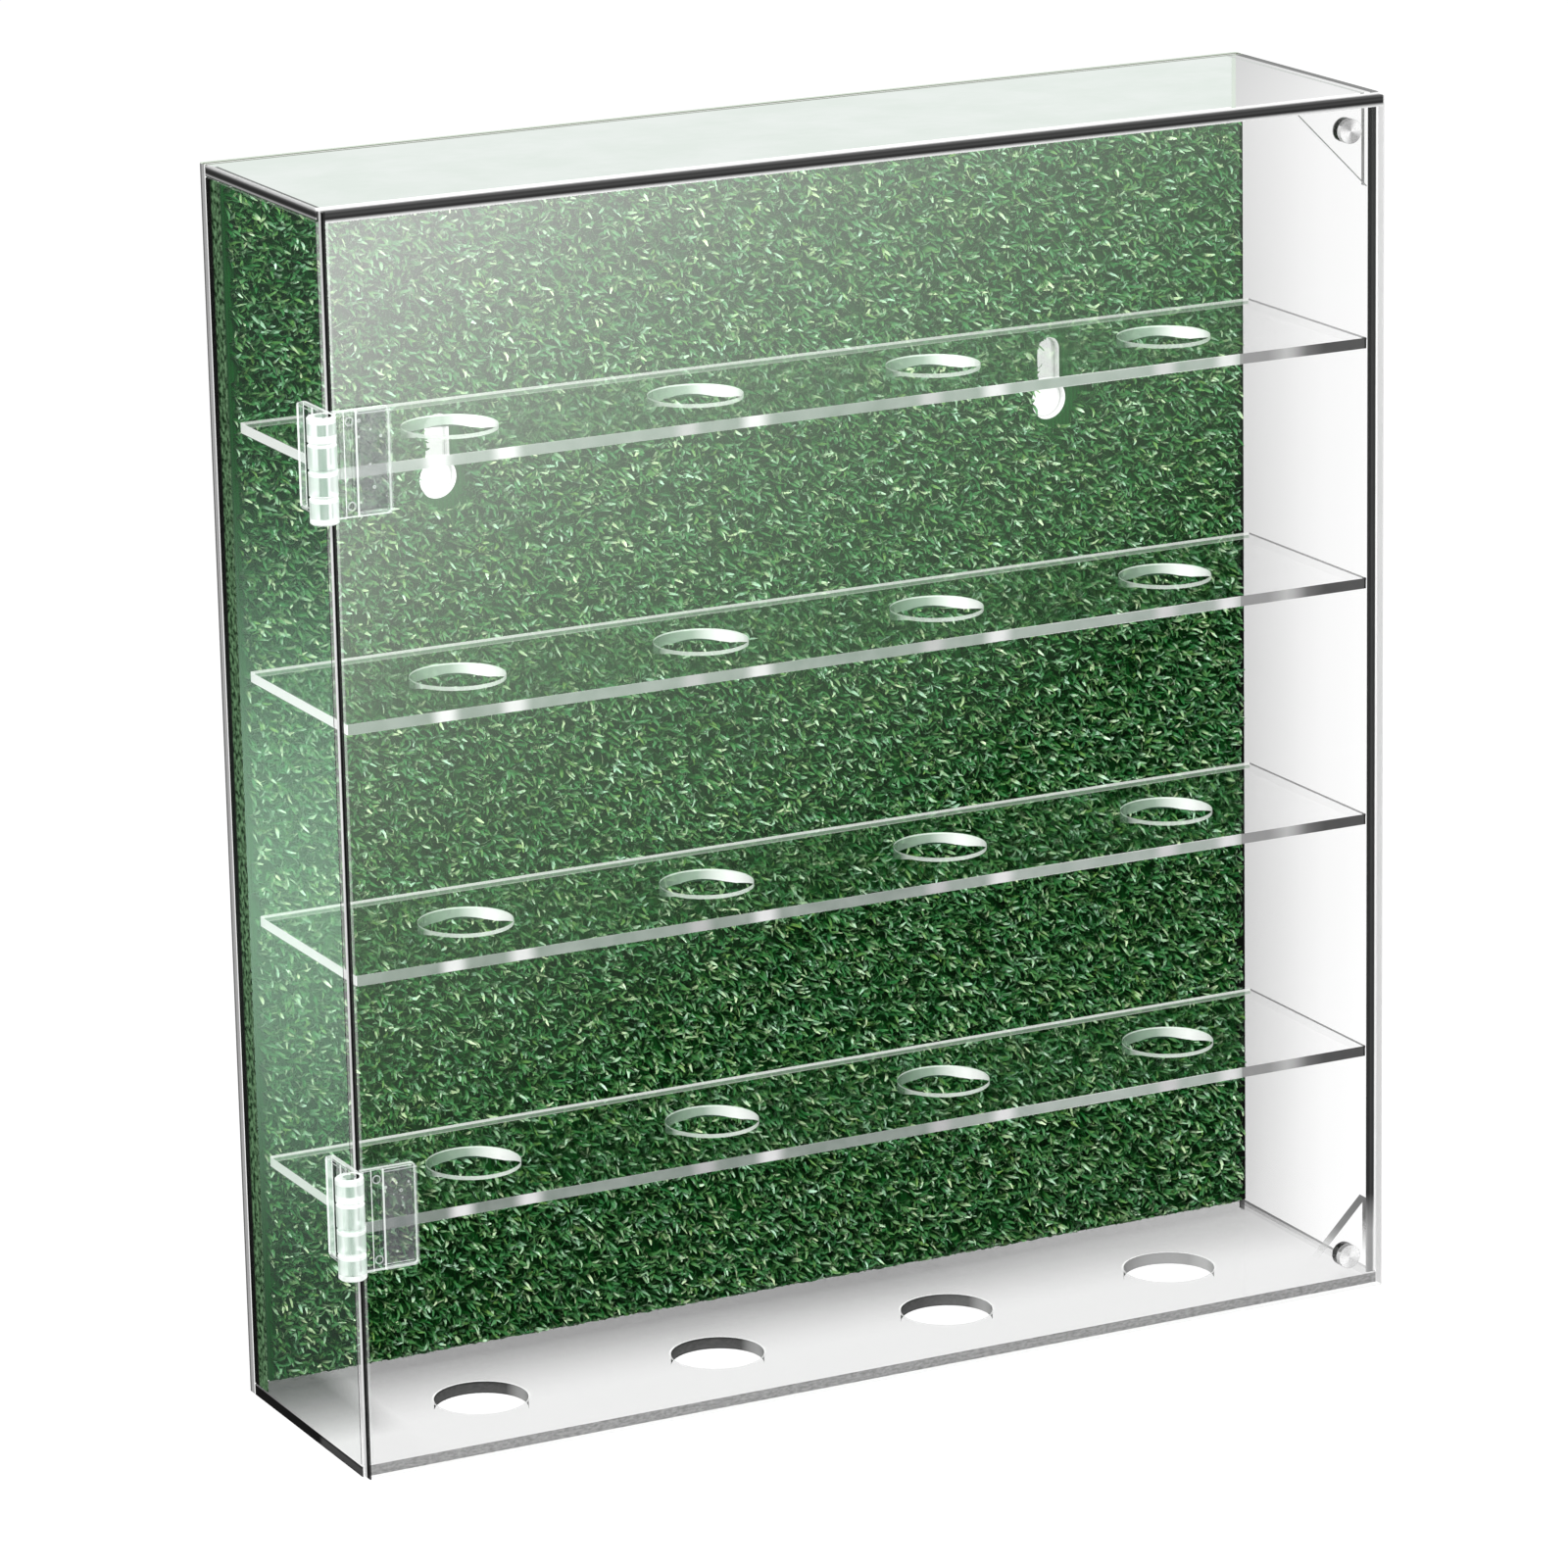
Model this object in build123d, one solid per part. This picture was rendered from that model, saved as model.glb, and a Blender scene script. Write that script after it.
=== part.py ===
from build123d import *
import os

# Golf ball display case: a clear acrylic wall case with a hinged door, four drilled shelves,
# a drilled floor and a mat of artificial turf against its back panel.
# Millimetres. +Z is up, +X runs to the right along the front, and the door faces -Y.
# The origin is the centre of the case's footprint, on the face that it stands on.

# ---- case --------------------------------------------------------------------------------
case_width = 280.0            # outer width of the case
case_depth = 72.0             # outer depth, from the door's front to the back panel's back
case_height = 305.0           # outer height
wall_sheet = 3.0              # acrylic sheet of the walls, top, bottom and back
shelf_sheet = 3.0             # acrylic sheet of the shelves
door_sheet = 3.0              # acrylic sheet of the door
glue_line = 0.1               # cement layer between two panels of the case
edge_break = 0.2              # chamfer on every cut edge of the sheet

# ---- door --------------------------------------------------------------------------------
door_gap = 0.3                # between the door's inner face and the case's front edges
door_margin = 0.4             # the door is this much inside the case's outline, all round

# ---- shelves and ball seats --------------------------------------------------------------
shelf_count = 4               # shelves between the floor and the top
seats_per_row = 4             # ball seats on each shelf and on the floor
seat_diameter = 23.0          # through hole that a 42.7 mm ball rests in
seat_pitch = 64.0             # centre to centre along a row
shelf_front_setback = 0.2     # from the case's front edges to a shelf's front edge
shelf_turf_clearance = 0.2    # from a shelf's back edge to the face of the pile

# ---- artificial turf ---------------------------------------------------------------------
turf_backing_thickness = 1.5
turf_pile_height = 6.2
turf_side_clearance = 0.4     # from the mat's cut edges to the walls, top and floor
turf_keyhole_margin = 0.5     # the mat's cut-outs are this much larger than the keyholes

# ---- keyholes in the back panel ----------------------------------------------------------
keyhole_spacing = 167.0       # centre to centre
keyhole_drop = 81.8           # from the case's top to the centre of the screw head hole
keyhole_head_diameter = 9.3   # passes the head of a 4 to 5 mm screw
keyhole_slot_width = 6.0      # holds its shank
keyhole_rise = 12.5           # from the head hole's centre to the centre of the slot's round end

# ---- stick-on hinges ---------------------------------------------------------------------
hinge_height = 25.0
knuckle_diameter = 6.8
knuckle_count = 4             # from the top: case, door, case, door
knuckle_gap = 0.2             # axial gap between two knuckles
knuckle_edge_break = 0.35
hinge_pin_diameter = 2.0
hinge_pin_clearance = 0.05    # radial
hinge_cap = 1.0               # closed outer end of the top and bottom knuckle
hinge_pin_end_play = 0.2      # at each end of the pin
leaf_thickness = 1.8
leaf_reach = 18.0             # from the pin's axis to the leaf's free edge
leaf_edge_clearance = 0.5     # from a leaf's full-height plate to the edge of the other panel
leaf_corner_radius = 1.2
channel_start = 6.2           # shallow channel along the leaf, from the pin's axis
channel_width = 3.1
channel_depth = 0.3
gate_mark_diameter = 2.2      # round moulding marks on the channel's floor
gate_mark_depth = 0.2
hinge_rise = 3.2              # from the middle of the shelf beside a hinge up to its own middle
gate_mark_inset = 2.6         # from the leaf's ends
pad_thickness = 0.4           # adhesive pad, let into the leaf's mounting face
pad_margin = 0.8              # from the pad to the leaf's edges
pad_clearance = 0.05          # from the pad to the recess round it, and to the recess's floor

# ---- magnetic catches --------------------------------------------------------------------
gusset_leg = 20.0             # both short sides of the triangular gusset
gusset_sheet = 3.0
magnet_diameter = 6.0
magnet_thickness = 2.0
magnet_inset = 5.8            # from the wall and the top or floor to the magnet's centre
door_disc_thickness = 1.2     # steel disc in the door, same diameter as the magnet
disc_clearance = 0.05         # round a magnet or disc in its pocket, and under it

# ---- planes worked out from those values -------------------------------------------------
right_face = case_width / 2
left_face = -right_face
back_face = case_depth / 2
door_front = -case_depth / 2
door_inner = door_front + door_sheet
case_front = door_inner + door_gap
panel_front = back_face - wall_sheet           # front of the back panel
wall_back = panel_front - glue_line            # back edge of the walls, top and floor
inner_right = right_face - wall_sheet
inner_left = -inner_right
floor_top = wall_sheet
ceiling = case_height - wall_sheet
turf_back = panel_front - glue_line
pile_back = turf_back - turf_backing_thickness - glue_line
pile_face = pile_back - turf_pile_height
shelf_front = case_front + shelf_front_setback
shelf_back = pile_face - shelf_turf_clearance
bay_height = (ceiling - floor_top - shelf_count * shelf_sheet) / (shelf_count + 1)
seat_y = (door_inner + pile_face) / 2          # a ball stands midway between door and pile
seat_xs = [(i - (seats_per_row - 1) / 2) * seat_pitch for i in range(seats_per_row)]
keyhole_z = case_height - keyhole_drop
knuckle_radius = knuckle_diameter / 2
pin_x = left_face - knuckle_radius             # the barrel touches the planes of both panels
pin_y = door_front - knuckle_radius


def shelf_base(number):
    """Height of the underside of a shelf, counted from 1 at the top."""
    steps_up = shelf_count + 1 - number
    return floor_top + steps_up * bay_height + (steps_up - 1) * shelf_sheet


def block(x0, x1, y0, y1, z0, z1):
    """A plain box between two corners."""
    return Pos((x0 + x1) / 2, (y0 + y1) / 2, (z0 + z1) / 2) * Box(x1 - x0, y1 - y0, z1 - z0)


def sheet(x0, x1, y0, y1, z0, z1):
    """A cut piece of sheet, with its edges broken."""
    piece = block(x0, x1, y0, y1, z0, z1)
    return chamfer(piece.edges(), edge_break)


def save(node, solid):
    """Write one piece as a STEP file of its own."""
    solid.label = node
    export_step(solid, os.path.join("parts", node + ".step"))


# ---- panels of the case ------------------------------------------------------------------
def drill_seats(panel, base, thickness):
    """Cut a row of ball seats through a level panel."""
    for x in seat_xs:
        panel -= Pos(x, seat_y, base + thickness / 2) * Cylinder(seat_diameter / 2, 2 * thickness)
    return panel


def side_wall(x0, x1):
    return sheet(x0, x1, case_front, wall_back, floor_top + glue_line, ceiling - glue_line)


def top_panel():
    return sheet(left_face, right_face, case_front, wall_back, ceiling, case_height)


def bottom_panel():
    panel = sheet(left_face, right_face, case_front, wall_back, 0, floor_top)
    return drill_seats(panel, 0, wall_sheet)


def shelf(number):
    base = shelf_base(number)
    left = inner_left + glue_line
    panel = sheet(left, -left, shelf_front, shelf_back, base, base + shelf_sheet)
    return drill_seats(panel, base, shelf_sheet)


def keyhole_cutter(y0, y1, margin):
    """Both keyholes, from y0 to y1, grown by the margin all round."""
    head = keyhole_head_diameter / 2 + margin
    slot = keyhole_slot_width / 2 + margin
    cutter = Part()
    for x in (-keyhole_spacing / 2, keyhole_spacing / 2):
        for z, radius in ((keyhole_z, head), (keyhole_z + keyhole_rise, slot)):
            turn = Pos(x, (y0 + y1) / 2, z) * Rot(90, 0, 0)
            cutter += turn * Cylinder(radius, y1 - y0)
        cutter += block(x - slot, x + slot, y0, y1, keyhole_z, keyhole_z + keyhole_rise)
    return cutter


def back_panel():
    panel = sheet(left_face, right_face, panel_front, back_face, 0, case_height)
    return panel - keyhole_cutter(panel_front - wall_sheet, back_face + wall_sheet, 0)


def turf_layer(y0, y1):
    """One layer of the mat, between the walls, with its keyhole cut-outs."""
    left = inner_left + turf_side_clearance
    layer = block(left, -left, y0, y1, floor_top + turf_side_clearance, ceiling - turf_side_clearance)
    return layer - keyhole_cutter(y0 - 1, y1 + 1, turf_keyhole_margin)


# ---- stick-on hinges ---------------------------------------------------------------------
# A leaf is drawn about the pin's axis, lying along +X with its mounting face towards +Y.
mount_face = knuckle_radius
outer_face = knuckle_radius - leaf_thickness
plate_start = knuckle_radius + leaf_edge_clearance
pad_start = channel_start + channel_width
knuckle_pitch = hinge_height / knuckle_count
leaf_end = hinge_height / 2


def leaf_plate():
    plate = block(plate_start, leaf_reach, outer_face, mount_face, -leaf_end, leaf_end)
    corners = plate.edges().filter_by(Axis.Y).group_by(Axis.X)[-1]
    plate = fillet(corners, leaf_corner_radius)
    channel_floor = outer_face + channel_depth
    plate -= block(channel_start, pad_start, outer_face - 1, channel_floor, -leaf_end, leaf_end)
    for z in (-leaf_end + gate_mark_inset, leaf_end - gate_mark_inset):
        mark_place = Pos(channel_start + channel_width / 2, channel_floor, z) * Rot(90, 0, 0)
        plate -= mark_place * Cylinder(gate_mark_diameter / 2, 2 * gate_mark_depth)
    recess_depth = pad_thickness + pad_clearance
    recess_top = leaf_end - pad_margin
    far_edge = leaf_reach - pad_margin
    recess_floor = mount_face - recess_depth
    return plate - block(pad_start, far_edge, recess_floor, mount_face + 1, -recess_top, recess_top)


def knuckle(index):
    """One knuckle and the web that joins it to its plate, counted from 0 at the top."""
    top = leaf_end - index * knuckle_pitch
    low = top - knuckle_pitch
    if index > 0:
        top -= knuckle_gap / 2
    if index < knuckle_count - 1:
        low += knuckle_gap / 2
    barrel = Pos(0, 0, (top + low) / 2) * Cylinder(knuckle_radius, top - low)
    barrel = chamfer(barrel.edges().filter_by(GeomType.CIRCLE), knuckle_edge_break)
    return barrel + block(0, plate_start, outer_face, mount_face, low, top)


def hinge_leaf(first_knuckle):
    leaf = leaf_plate()
    for index in range(first_knuckle, knuckle_count, 2):
        leaf += knuckle(index)
    bore_end = leaf_end - hinge_cap
    return leaf - Cylinder(hinge_pin_diameter / 2 + hinge_pin_clearance, 2 * bore_end)


def hinge_pad():
    length = leaf_end - pad_margin - pad_clearance
    far_edge = leaf_reach - pad_margin - pad_clearance
    return block(pad_start + pad_clearance, far_edge, mount_face - pad_thickness, mount_face, -length, length)


def hinge_pin():
    return Cylinder(hinge_pin_diameter / 2, hinge_height - 2 * (hinge_cap + hinge_pin_end_play))


def turned_to_case(piece):
    """Swap a leaf's X and Y, so that it lies on the left wall and not on the door."""
    return mirror(piece, about=Plane(origin=(0, 0, 0), z_dir=(1, -1, 0)))


def save_hinge(name, z):
    place = Pos(pin_x, pin_y, z)
    save(f"hinge_{name}_case_leaf", place * turned_to_case(hinge_leaf(0)))
    save(f"hinge_{name}_case_pad", place * turned_to_case(hinge_pad()))
    save(f"hinge_{name}_door_leaf", place * hinge_leaf(1))
    save(f"hinge_{name}_door_pad", place * hinge_pad())
    save(f"hinge_{name}_pin", place * hinge_pin())


# ---- magnetic catches --------------------------------------------------------------------
def disc(x, z, y0, y1, radius):
    """A round disc or pocket whose axis runs front to back, from y0 to y1."""
    return Pos(x, (y0 + y1) / 2, z) * Rot(90, 0, 0) * Cylinder(radius, y1 - y0)


pocket_radius = magnet_diameter / 2 + disc_clearance
magnet_pocket_end = case_front + magnet_thickness + disc_clearance
door_pocket_end = door_inner - door_disc_thickness - disc_clearance
magnet_x = inner_right - magnet_inset
catch_places = {
    "upper": (ceiling, -1),
    "lower": (floor_top, 1),
}


def catch_gusset(corner_z, inwards):
    """Right-angled triangle in a right-hand corner, glued to the wall and the top or floor."""
    x = inner_right - glue_line
    z = corner_z + inwards * glue_line
    outline = Polyline((x, z), (x - gusset_leg, z), (x, z + inwards * gusset_leg), close=True)
    face = Plane.XZ * make_face(outline)
    gusset = extrude(face, gusset_sheet, dir=(0, 1, 0))
    gusset = Pos(0, case_front, 0) * gusset
    magnet_z = corner_z + inwards * magnet_inset
    return gusset - disc(magnet_x, magnet_z, case_front - 1, magnet_pocket_end, pocket_radius)


def save_catch(name, corner_z, inwards):
    z = corner_z + inwards * magnet_inset
    radius = magnet_diameter / 2
    save(f"catch_{name}_gusset", catch_gusset(corner_z, inwards))
    save(f"catch_{name}_magnet", disc(magnet_x, z, case_front, case_front + magnet_thickness, radius))
    save(f"catch_{name}_door_disc", disc(magnet_x, z, door_inner - door_disc_thickness, door_inner, radius))


# ---- door --------------------------------------------------------------------------------
def door_panel():
    right = right_face - door_margin
    panel = sheet(-right, right, door_front, door_inner, door_margin, case_height - door_margin)
    for corner_z, inwards in catch_places.values():
        z = corner_z + inwards * magnet_inset
        panel -= disc(magnet_x, z, door_pocket_end, door_inner + 1, pocket_radius)
    return panel


# ---- all pieces --------------------------------------------------------------------------
os.makedirs("parts", exist_ok=True)
save("back_panel", back_panel())
save("left_wall", side_wall(left_face, inner_left))
save("right_wall", side_wall(inner_right, right_face))
save("top_panel", top_panel())
save("bottom_panel", bottom_panel())
for number in range(1, shelf_count + 1):
    save(f"shelf_{number}", shelf(number))
save("turf_backing", turf_layer(turf_back - turf_backing_thickness, turf_back))
save("turf_pile", turf_layer(pile_face, pile_back))
save("door_panel", door_panel())
for name, number in (("upper", 1), ("lower", shelf_count)):
    save_hinge(name, shelf_base(number) + shelf_sheet / 2 + hinge_rise)
for name, (corner_z, inwards) in catch_places.items():
    save_catch(name, corner_z, inwards)
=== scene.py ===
"""Looks, turf blades, stage, light and camera for the golf ball display case.

Places are in millimetres in the part's own frame, and tones are sRGB values out
of 255 as they look in plain light, unless a comment says otherwise.
"""
import math

import bpy
import numpy as np
from mathutils import Matrix, Vector

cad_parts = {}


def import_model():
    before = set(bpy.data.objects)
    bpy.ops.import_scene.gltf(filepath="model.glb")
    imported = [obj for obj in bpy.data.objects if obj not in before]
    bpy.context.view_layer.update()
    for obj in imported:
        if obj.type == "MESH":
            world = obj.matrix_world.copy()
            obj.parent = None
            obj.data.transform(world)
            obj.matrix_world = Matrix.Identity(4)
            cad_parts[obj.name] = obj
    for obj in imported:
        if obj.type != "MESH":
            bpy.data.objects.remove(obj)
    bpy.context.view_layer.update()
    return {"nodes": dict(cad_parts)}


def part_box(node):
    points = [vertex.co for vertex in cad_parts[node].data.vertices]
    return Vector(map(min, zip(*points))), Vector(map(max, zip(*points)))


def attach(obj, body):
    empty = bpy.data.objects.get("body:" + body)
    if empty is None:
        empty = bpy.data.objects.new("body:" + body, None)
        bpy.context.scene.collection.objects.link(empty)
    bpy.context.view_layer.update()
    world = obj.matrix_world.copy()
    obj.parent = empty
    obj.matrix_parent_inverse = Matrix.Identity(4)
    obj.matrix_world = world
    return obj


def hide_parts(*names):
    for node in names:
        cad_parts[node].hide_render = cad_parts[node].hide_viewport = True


MM = 0.001

# the part
SEAT_XS = (-96, -32, 32, 96)  # ball seats, from left to right
SEAT_Y = -3.95
KEYHOLE_XS = (-83.5, 83.5)
KEYHOLE_ENDS = ((223.2, 5.15), (235.7, 3.5))  # z and radius in the mat: head, slot's end
PIN = (-143.4, -39.4)  # x and y of both hinge pins
HINGES = {"upper": 0.25, "lower": 0.75}  # how much of a pale mottled tone covers the case leaf's far end
# for each catch: its z, and the darkest and palest tones of the painted highlight that fans over
# its plating
CATCHES = {"upper": (296.2, (165, 238)), "lower": (8.8, (214, 250))}
CATCH_X = 131.2

# for each shelf from the top: its front edge's painted tones on the left, in the middle and on the
# right, and its left end's painted red, green and blue
SHELVES = (
    ((133, 128, 149), (250, 253, 250)),
    ((127, 137, 152), (250, 250, 250)),
    ((124, 135, 156), (240, 240, 240)),
    ((118, 130, 161), (232, 240, 233)),
)
GLINTS = {-96: 214, -32: 172, 32: 176, 96: 190}  # painted glints on a shelf's front, left of each seat

# the turf
TUFT_PITCH = 2.15
BLADES_PER_TUFT = 5
TRACK_STEPS = 12  # along a blade's centreline
ROW_STEPS = np.array([0, 6, 9, 12])  # where a blade has a row of points
ROW_WIDTHS = np.array([0.8, 1.0, 1.0, 0.4])  # of its full width
ROW_POINTS = 3  # left edge, crease and right edge
FOLD = 0.28  # depth of the crease, of half the width
KEYHOLE_MARGIN = 1.0
TILES_ACROSS, TILES_UP = 3, 5

# the picture
FOCAL_PIXELS, PICTURE_PIXELS, SENSOR = 7362, 1600, 36
CAMERA_PLACE = (-0.7643, -1.5145, 0.6072)  # m
CAMERA_TURN = (-26.52, -15.30, -1.16)  # yaw, pitch and roll in degrees

WHITE = (1, 1, 1)
INNER_GLOW = 0.35  # share of an edge's tone given as painted glow (emission), for light inside the sheet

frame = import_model()
nodes = frame["nodes"]
scene = bpy.context.scene


# ---------------------------------------------------------------- node helpers
class Shader:
    """A material or world node tree, with short calls for the nodes used here."""

    def __init__(self, name, world=False):
        self.owner = (bpy.data.worlds if world else bpy.data.materials).new(name)
        self.owner.use_nodes = True
        self.tree = self.owner.node_tree
        self.tree.nodes.clear()
        kind = "ShaderNodeOutputWorld" if world else "ShaderNodeOutputMaterial"
        self.out = self.tree.nodes.new(kind)

    def put(self, socket, value):
        if isinstance(value, bpy.types.NodeSocket):
            self.tree.links.new(value, socket)
        elif isinstance(value, (tuple, list)) and socket.type == "RGBA":
            socket.default_value = (*value[:3], 1)
        else:
            socket.default_value = value

    def node(self, kind, inputs=None, out=0, **attrs):
        """Adds a node and returns one of its outputs, by place or by name."""
        n = self.tree.nodes.new("ShaderNode" + kind)
        for key, value in attrs.items():
            setattr(n, key, value)
        for key, value in (inputs or {}).items():
            self.put(n.inputs[key], value)
        return n.outputs[out]

    def math(self, op, a, b=0.0, c=0.0, clamp=False):
        return self.node("Math", {0: a, 1: b, 2: c}, operation=op, use_clamp=clamp)

    def add(self, a, b):
        return self.math("ADD", a, b)

    def sub(self, a, b):
        return self.math("SUBTRACT", a, b)

    def mul(self, a, b, *more):
        for m in more:
            a = self.math("MULTIPLY", a, m)
        return self.math("MULTIPLY", a, b)

    def inv(self, a):
        return self.sub(1.0, a)

    def size(self, a):
        return self.math("ABSOLUTE", a)

    def reach(self, a, b):
        """The length of the vector (a, b)."""
        return self.math("SQRT", self.add(self.mul(a, a), self.mul(b, b)))

    def either(self, a, b):
        return self.math("ADD", a, b, clamp=True)

    def over(self, value, limit=0.5):
        return self.math("GREATER_THAN", value, limit)

    def under(self, value, limit=-0.5):
        return self.math("LESS_THAN", value, limit)

    def at(self, value, low, high):
        """1 where value lies from low to high."""
        return self.math("COMPARE", value, (low + high) / 2, abs(high - low) / 2)

    def ramp(self, value, low, high, first=0.0, last=1.0, smooth=False):
        kind = "SMOOTHSTEP" if smooth else "LINEAR"
        values = {0: value, 1: low, 2: high, 3: first, 4: last}
        return self.node("MapRange", values, interpolation_type=kind)

    def mix(self, factor, a, b):
        """Between two colours."""
        values = {0: factor, 6: a, 7: b}
        return self.node("Mix", values, out=2, data_type="RGBA")

    def level(self, factor, a, b):
        """Between two numbers."""
        return self.node("Mix", {0: factor, 2: a, 3: b}, data_type="FLOAT")

    def blend(self, factor, a, b):
        """Between two shaders."""
        return self.node("MixShader", {0: factor, 1: a, 2: b})

    def noise(self, scale, detail=2.0, rough=0.5, coords=None):
        values = {"Scale": scale, "Detail": detail, "Roughness": rough}
        values["Vector"] = coords if coords is not None else self.object_coords()
        return self.node("TexNoise", values)

    def scaled(self, vector, factor):
        return self.node("VectorMath", {0: vector, "Scale": factor}, operation="SCALE")

    def times(self, vector, factors):
        return self.node("VectorMath", {0: vector, 1: factors}, operation="MULTIPLY")

    def split(self, vector):
        n = self.tree.nodes.new("ShaderNodeSeparateXYZ")
        self.put(n.inputs[0], vector)
        return tuple(n.outputs)

    def object_coords(self):
        return self.node("TexCoord", out="Object")

    def place(self):
        """x, y, z in mm in the part's own frame, which ride with the body."""
        return self.split(self.scaled(self.object_coords(), 1000.0))

    def normal(self):
        """The x, y, z parts of the surface's normal in the part's own frame."""
        return self.split(self.node("TexCoord", out="Normal"))

    def backdrop_rays(self):
        """1 for the rays that see the white background: direct, mirrored or through."""
        seen = self.node("LightPath", out="Is Camera Ray")
        for kind in ("Is Glossy Ray", "Is Transmission Ray"):
            seen = self.math("MAXIMUM", seen, self.node("LightPath", out=kind))
        return seen

    def finish(self, surface):
        self.put(self.out.inputs["Surface"], surface)
        return self.owner


def dress(names, material):
    for name in names:
        mesh = nodes[name].data
        mesh.materials.clear()
        mesh.materials.append(material)


def gray(v):
    """A neutral colour that renders as sRGB value v out of 255 in plain light."""
    c = v / 255
    lin = c / 12.92 if c <= 0.04045 else ((c + 0.055) / 1.055) ** 2.4
    return (lin, lin, lin)


def rgb(r, g, b):
    return tuple(gray(v)[0] for v in (r, g, b))


def box_mm(name):
    low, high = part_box(name)
    return tuple(v / MM for v in low), tuple(v / MM for v in high)


# ---------------------------------------------------------------- acrylic
class Acrylic(Shader):
    """Clear sheet: see-through faces with gloss, and edges and lines toned with painted
    reflections, highlights and shade.

    low and high are its gloss seen squarely and at a grazing angle.
    """

    def __init__(self, name, low=0.01, high=0.6, shine=WHITE, rough=0.0):
        super().__init__(name)
        self.x, self.y, self.z = self.place()
        self.back = self.node("NewGeometry", out="Backfacing")
        flip = self.math("MULTIPLY_ADD", self.back, -2.0, 1.0)
        self.nx, self.ny, self.nz = (self.mul(n, flip) for n in self.normal())
        self.low, self.high = low, high
        self.shine, self.rough = shine, rough
        self.tint = WHITE
        self.glare = None
        self.colour, self.alpha, self.glow = gray(240), 0.0, INNER_GLOW

    def tone(self, mask, colour, alpha=1.0, glow=INNER_GLOW):
        """Where mask is 1 the surface takes this colour with this much cover.
        glow is the share of it given as painted glow, for light inside the sheet."""
        self.colour = self.mix(mask, self.colour, colour)
        self.alpha = self.level(mask, self.alpha, alpha)
        self.glow = self.level(mask, self.glow, glow)

    def shade(self, value, stops):
        """A neutral tone that runs through (place, tone) stops."""
        c = gray(stops[0][1])
        for (a, _), (b, v) in zip(stops, stops[1:]):
            c = self.mix(self.ramp(value, a, b), c, gray(v))
        return c

    def rim(self, normal):
        """1 on the sheet's edges, where this part of the normal is small."""
        return self.under(self.size(normal), 0.5)

    def left_end(self, rim):
        return self.mul(rim, self.under(self.nx), self.under(self.x, -130))

    def right_end(self, rim):
        return self.mul(rim, self.over(self.nx), self.over(self.x, 130))

    def seat_walls(self, rim):
        return self.mul(rim, self.at(self.size(self.x), 15, 115), self.at(self.y, -16, 8.2))

    def seats(self):
        """For the nearest ball seat: its place across, the distance from its
        axis, and how far its wall faces the front left."""
        slide = self.sub(self.x, SEAT_XS[0])
        for cx in SEAT_XS[1:]:
            dx = self.sub(self.x, cx)
            slide = self.level(self.at(dx, -20, 20), slide, dx)
        dy = self.sub(self.y, SEAT_Y)
        seen = self.add(self.mul(slide, 0.446), self.mul(dy, 0.894))
        return slide, self.reach(slide, dy), seen

    def build(self):
        facing = self.node("LayerWeight", {"Blend": 0.5}, out="Facing")
        curve = self.math("POWER", facing, 5.0)
        amount = self.math("MULTIPLY_ADD", curve, self.high - self.low, self.low)
        amount = self.math("MULTIPLY", amount, self.inv(self.back), clamp=True)
        clear = self.node("BsdfTransparent", {"Color": self.tint})
        shine = self.node("BsdfGlossy", {"Color": self.shine, "Roughness": self.rough})
        body = self.blend(amount, clear, shine)
        if self.glare is not None:
            glare = self.node("BsdfGlossy", {"Color": self.glare, "Roughness": 0.0})
            body = self.node("AddShader", {0: body, 1: glare})
        # the tones, lit as a surface, with their glow share as painted glow
        paint = {
            "Base Color": self.scaled(self.colour, self.inv(self.glow)),
            "Roughness": 0.3,
            "Specular IOR Level": 0.0,
            "Emission Color": self.scaled(self.colour, self.glow),
            "Emission Strength": 1.0,
        }
        seen = self.blend(self.alpha, body, self.node("BsdfPrincipled", paint))
        # the sheet throws no shadow
        shadow_ray = self.node("LightPath", out="Is Shadow Ray")
        passing = self.node("BsdfTransparent", {"Color": WHITE})
        return self.finish(self.blend(shadow_ray, seen, passing))


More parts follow.
